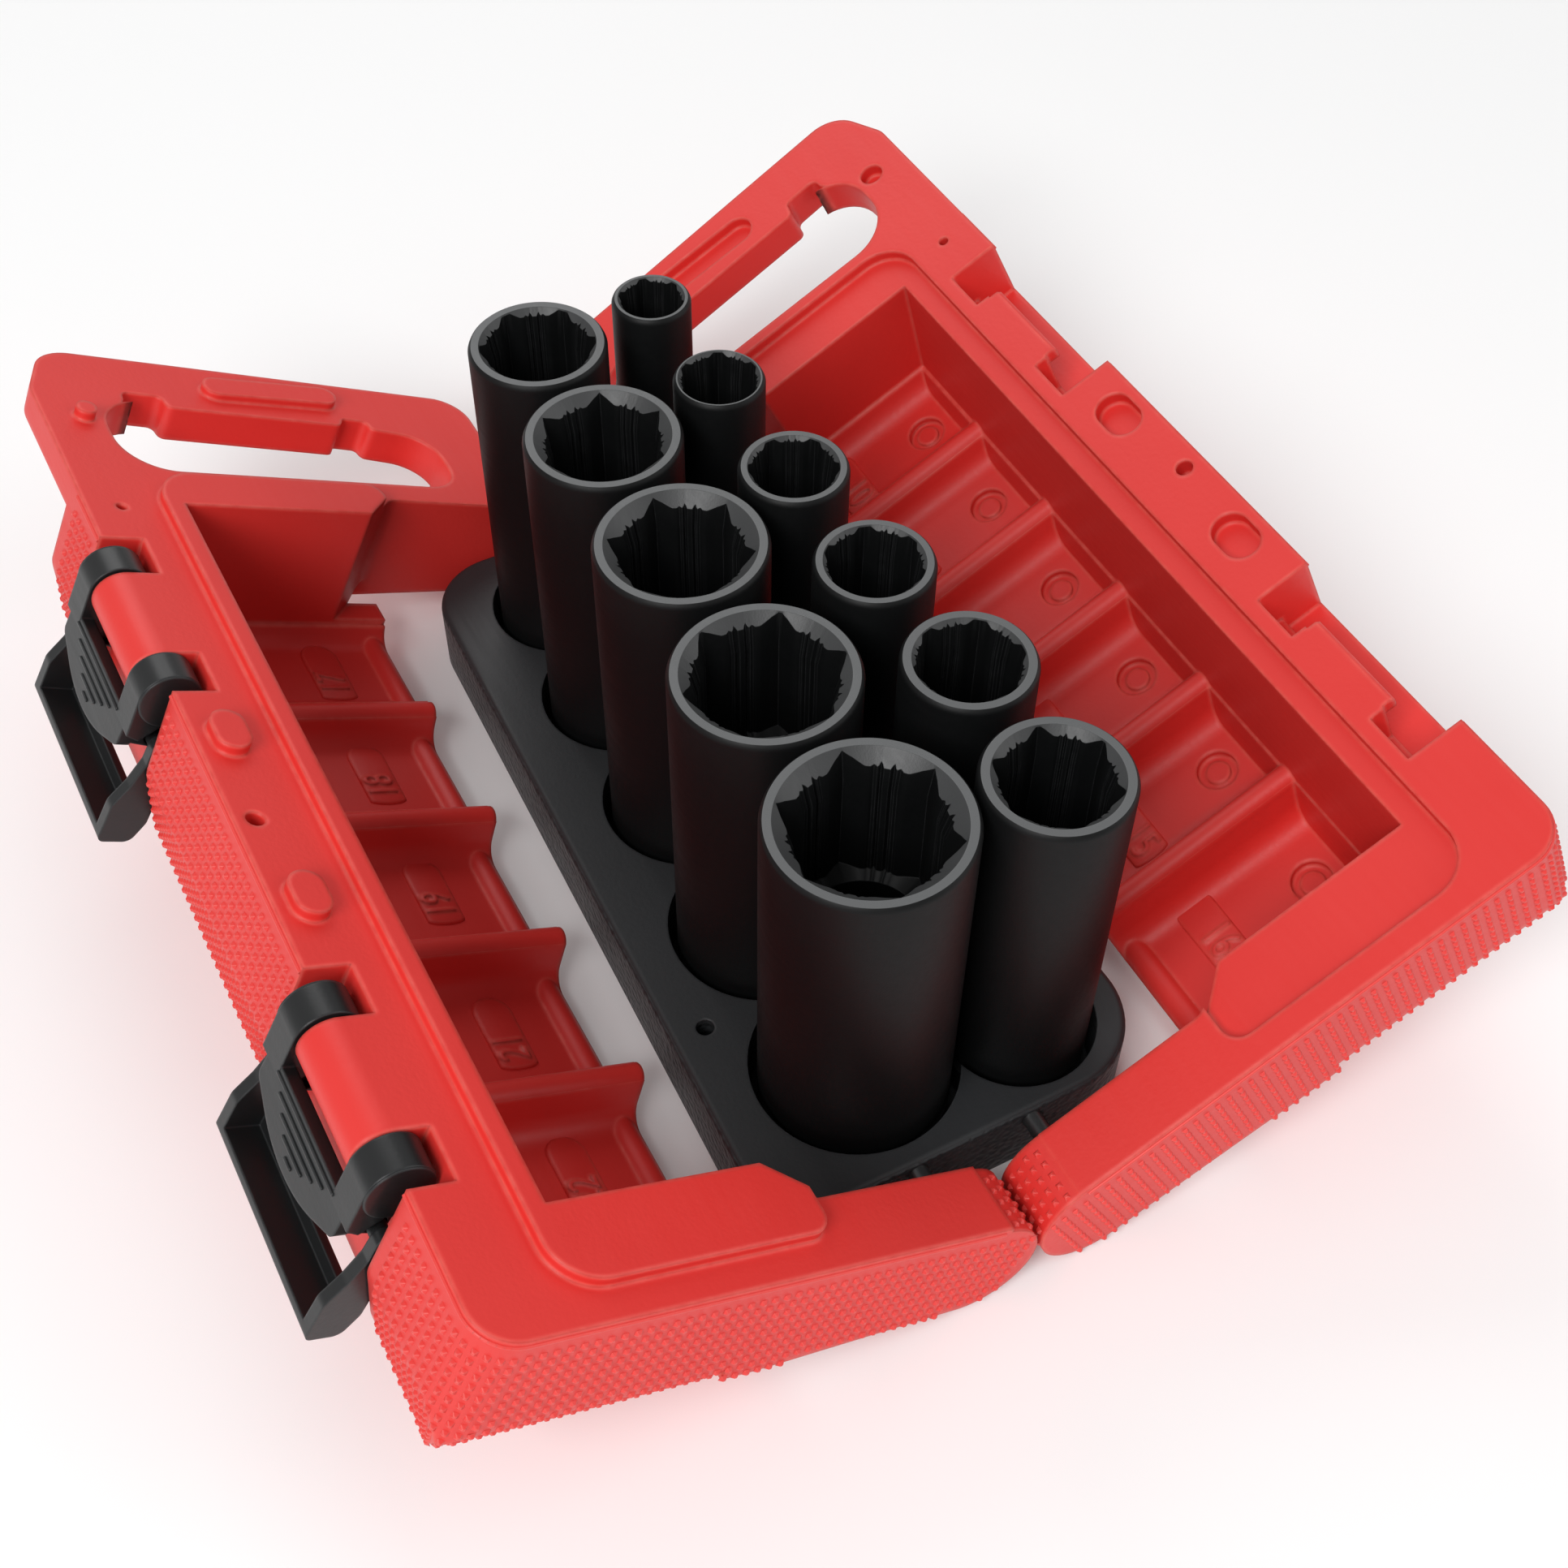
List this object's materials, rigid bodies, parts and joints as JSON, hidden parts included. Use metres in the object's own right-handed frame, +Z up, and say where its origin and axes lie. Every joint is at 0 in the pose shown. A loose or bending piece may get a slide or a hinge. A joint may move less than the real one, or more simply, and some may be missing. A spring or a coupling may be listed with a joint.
{
  "type": "socket wrench set in case",
  "caption": "Deep impact sockets standing in a tray between the two hinged halves of a moulded carry case with draw latches.",
  "frame": {"origin": "centre of the bottom of the whole open set's bounding box, on the surface it stands on", "axes": "+Y along the hinge line, from the front arms to the carrying grips; +X across, towards the half without latches; +Z up"},
  "size_m": [0.2088, 0.2257, 0.0789],
  "materials": {
    "case_plastic": "red moulded polyethylene, satin, with rows of small knurls outside",
    "tray_plastic": "black moulded plastic, grained sides",
    "latch_plastic": "black moulded nylon, satin",
    "pin_steel": "blackened steel wire",
    "socket_steel": "black phosphate"
  },
  "bodies": {
    "tray": {"tray": "tray_plastic", "hinge_pin_front_left": "pin_steel", "hinge_pin_front_right": "pin_steel", "hinge_pin_rear_left": "pin_steel", "hinge_pin_rear_right": "pin_steel"},
    "left_shell": {"left_shell": "case_plastic"},
    "right_shell": {"right_shell": "case_plastic"},
    "latch_lever_front": {"latch_lever_front": "latch_plastic"},
    "latch_bail_front": {"latch_bail_front": "latch_plastic"},
    "latch_lever_rear": {"latch_lever_rear": "latch_plastic"},
    "latch_bail_rear": {"latch_bail_rear": "latch_plastic"},
    "socket_10mm": {"socket_10mm": "socket_steel"},
    "socket_12mm": {"socket_12mm": "socket_steel"},
    "socket_13mm": {"socket_13mm": "socket_steel"},
    "socket_14mm": {"socket_14mm": "socket_steel"},
    "socket_15mm": {"socket_15mm": "socket_steel"},
    "socket_16mm": {"socket_16mm": "socket_steel"},
    "socket_17mm": {"socket_17mm": "socket_steel"},
    "socket_18mm": {"socket_18mm": "socket_steel"},
    "socket_19mm": {"socket_19mm": "socket_steel"},
    "socket_21mm": {"socket_21mm": "socket_steel"},
    "socket_22mm": {"socket_22mm": "socket_steel"}
  },
  "joints": [
    {"name": "left_shell_hinge", "type": "hinge", "parent": "tray", "child": "left_shell", "pos_m": [-0.00603, 0, 0.0117], "axis": [0, -1, 0], "range_deg": [-63.3, 0]},
    {"name": "right_shell_hinge", "type": "hinge", "parent": "tray", "child": "right_shell", "pos_m": [0.01597, 0, 0.0117], "axis": [0, 1, 0], "range_deg": [-63.3, 0]},
    {"name": "lever_front_hinge", "type": "hinge", "parent": "left_shell", "child": "latch_lever_front", "pos_m": [-0.08582, -0.06635, 0.05829], "axis": [0, -1, 0], "range_deg": [-100, 0]},
    {"name": "bail_front_hinge", "type": "hinge", "parent": "latch_lever_front", "child": "latch_bail_front", "pos_m": [-0.08994, -0.06635, 0.04968], "axis": [0, 1, 0], "range_deg": [0, 170]},
    {"name": "lever_rear_hinge", "type": "hinge", "parent": "left_shell", "child": "latch_lever_rear", "pos_m": [-0.08582, 0.03515, 0.05829], "axis": [0, -1, 0], "range_deg": [-100, 0]},
    {"name": "bail_rear_hinge", "type": "hinge", "parent": "latch_lever_rear", "child": "latch_bail_rear", "pos_m": [-0.08994, 0.03515, 0.04968], "axis": [0, 1, 0], "range_deg": [0, 170]},
    {"name": "socket_10mm_lift", "type": "slide", "parent": "tray", "child": "socket_10mm", "axis": [0, 0, 1], "range_m": [0, 0.08]},
    {"name": "socket_12mm_lift", "type": "slide", "parent": "tray", "child": "socket_12mm", "axis": [0, 0, 1], "range_m": [0, 0.08]},
    {"name": "socket_13mm_lift", "type": "slide", "parent": "tray", "child": "socket_13mm", "axis": [0, 0, 1], "range_m": [0, 0.08]},
    {"name": "socket_14mm_lift", "type": "slide", "parent": "tray", "child": "socket_14mm", "axis": [0, 0, 1], "range_m": [0, 0.08]},
    {"name": "socket_15mm_lift", "type": "slide", "parent": "tray", "child": "socket_15mm", "axis": [0, 0, 1], "range_m": [0, 0.08]},
    {"name": "socket_16mm_lift", "type": "slide", "parent": "tray", "child": "socket_16mm", "axis": [0, 0, 1], "range_m": [0, 0.08]},
    {"name": "socket_17mm_lift", "type": "slide", "parent": "tray", "child": "socket_17mm", "axis": [0, 0, 1], "range_m": [0, 0.08]},
    {"name": "socket_18mm_lift", "type": "slide", "parent": "tray", "child": "socket_18mm", "axis": [0, 0, 1], "range_m": [0, 0.08]},
    {"name": "socket_19mm_lift", "type": "slide", "parent": "tray", "child": "socket_19mm", "axis": [0, 0, 1], "range_m": [0, 0.08]},
    {"name": "socket_21mm_lift", "type": "slide", "parent": "tray", "child": "socket_21mm", "axis": [0, 0, 1], "range_m": [0, 0.08]},
    {"name": "socket_22mm_lift", "type": "slide", "parent": "tray", "child": "socket_22mm", "axis": [0, 0, 1], "range_m": [0, 0.08]}
  ]
}
